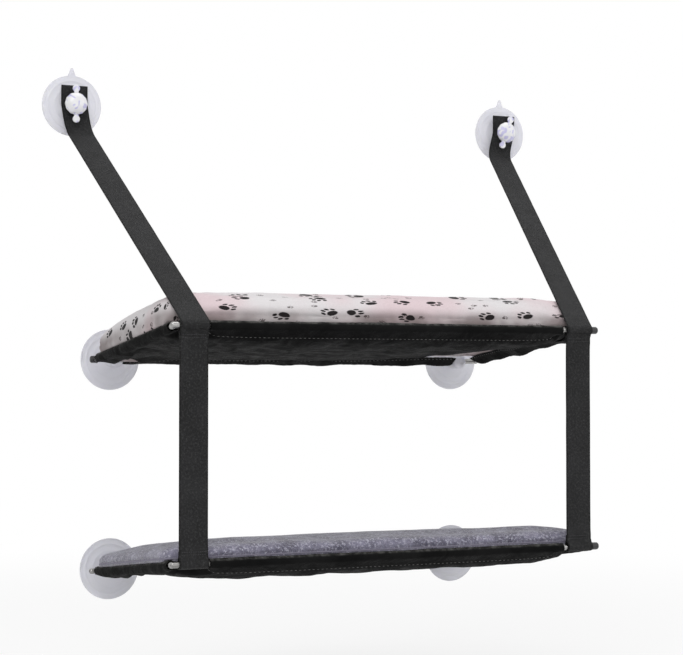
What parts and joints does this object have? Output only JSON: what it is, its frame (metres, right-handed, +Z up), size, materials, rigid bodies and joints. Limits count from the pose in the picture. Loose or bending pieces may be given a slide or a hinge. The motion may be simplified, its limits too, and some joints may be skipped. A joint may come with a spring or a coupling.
{
  "type": "cat window hammock",
  "caption": "Two-tier window hammock for a cat: rod-framed fabric slings with mats, hung from suction cups by webbing straps, the front edges folding up to the glass.",
  "frame": {"origin": "on the glass, midway between the two suction cups that carry the upper tier's back rod", "axes": "+Z up, +Y from the room into the glass, X along the window; the glass is the plane Y = 0 and the part lies at -Y"},
  "size_m": [0.8, 0.3751, 0.769],
  "materials": {
    "cup_plastic": "clear soft plastic, faintly grey, smooth",
    "knob_plastic": "clear hard plastic, glossy",
    "rod_steel": "bright drawn steel",
    "black_plastic": "moulded, satin",
    "webbing": "woven nylon webbing",
    "sling_cloth": "coarse coated weave",
    "printed_plush": "short plush with a small dark print",
    "grey_fleece": "mottled long-pile fleece"
  },
  "bodies": {
    "window_side": {"upper_left_cup": "cup_plastic", "upper_right_cup": "cup_plastic", "lower_left_cup": "cup_plastic", "lower_right_cup": "cup_plastic", "left_top_cup": "cup_plastic", "left_stud": "rod_steel", "left_eyelet": "black_plastic", "left_hanger_strap": "webbing", "right_top_cup": "cup_plastic", "right_stud": "rod_steel", "right_eyelet": "black_plastic", "right_hanger_strap": "webbing"},
    "upper_tier": {"upper_back_rod": "rod_steel", "upper_back_rod_cap": "black_plastic", "upper_front_rod": "rod_steel", "upper_front_rod_cap": "black_plastic", "upper_left_rod": "rod_steel", "upper_right_rod": "rod_steel", "upper_sling": "sling_cloth", "upper_mat": "printed_plush"},
    "lower_tier": {"lower_back_rod": "rod_steel", "lower_back_rod_cap": "black_plastic", "lower_front_rod": "rod_steel", "lower_front_rod_cap": "black_plastic", "lower_left_rod": "rod_steel", "lower_right_rod": "rod_steel", "lower_sling": "sling_cloth", "lower_mat": "grey_fleece"},
    "left_drop": {"left_drop_strap": "webbing"},
    "right_drop": {"right_drop_strap": "webbing"},
    "left_knob": {"left_thumb_nut": "knob_plastic"},
    "right_knob": {"right_thumb_nut": "knob_plastic"}
  },
  "joints": [
    {"name": "upper_fold", "type": "hinge", "parent": "window_side", "child": "upper_tier", "pos_m": [0, -0.024, 0], "axis": [-1, 0, 0], "range_deg": [0, 50], "deforming": ["left_hanger_strap", "right_hanger_strap"]},
    {"name": "lower_fold", "type": "hinge", "parent": "window_side", "child": "lower_tier", "pos_m": [0, -0.024, -0.303], "axis": [-1, 0, 0], "range_deg": [0, 50]},
    {"name": "left_drop_swing", "type": "hinge", "parent": "upper_tier", "child": "left_drop", "pos_m": [0, -0.36664, 0.04025], "axis": [-1, 0, 0], "range_deg": [-50, 0]},
    {"name": "right_drop_swing", "type": "hinge", "parent": "upper_tier", "child": "right_drop", "pos_m": [0, -0.36664, 0.04025], "axis": [-1, 0, 0], "range_deg": [-50, 0]},
    {"name": "left_nut_turn", "type": "hinge", "parent": "window_side", "child": "left_knob", "pos_m": [-0.34, -0.0165, 0.367], "axis": [0, -1, 0], "continuous": true},
    {"name": "right_nut_turn", "type": "hinge", "parent": "window_side", "child": "right_knob", "pos_m": [0.372, -0.0165, 0.367], "axis": [0, -1, 0], "continuous": true}
  ],
  "couplings": [
    {"joint": "lower_fold", "follows": "upper_fold", "ratio": 1},
    {"joint": "left_drop_swing", "follows": "upper_fold", "ratio": -1},
    {"joint": "right_drop_swing", "follows": "upper_fold", "ratio": -1}
  ]
}
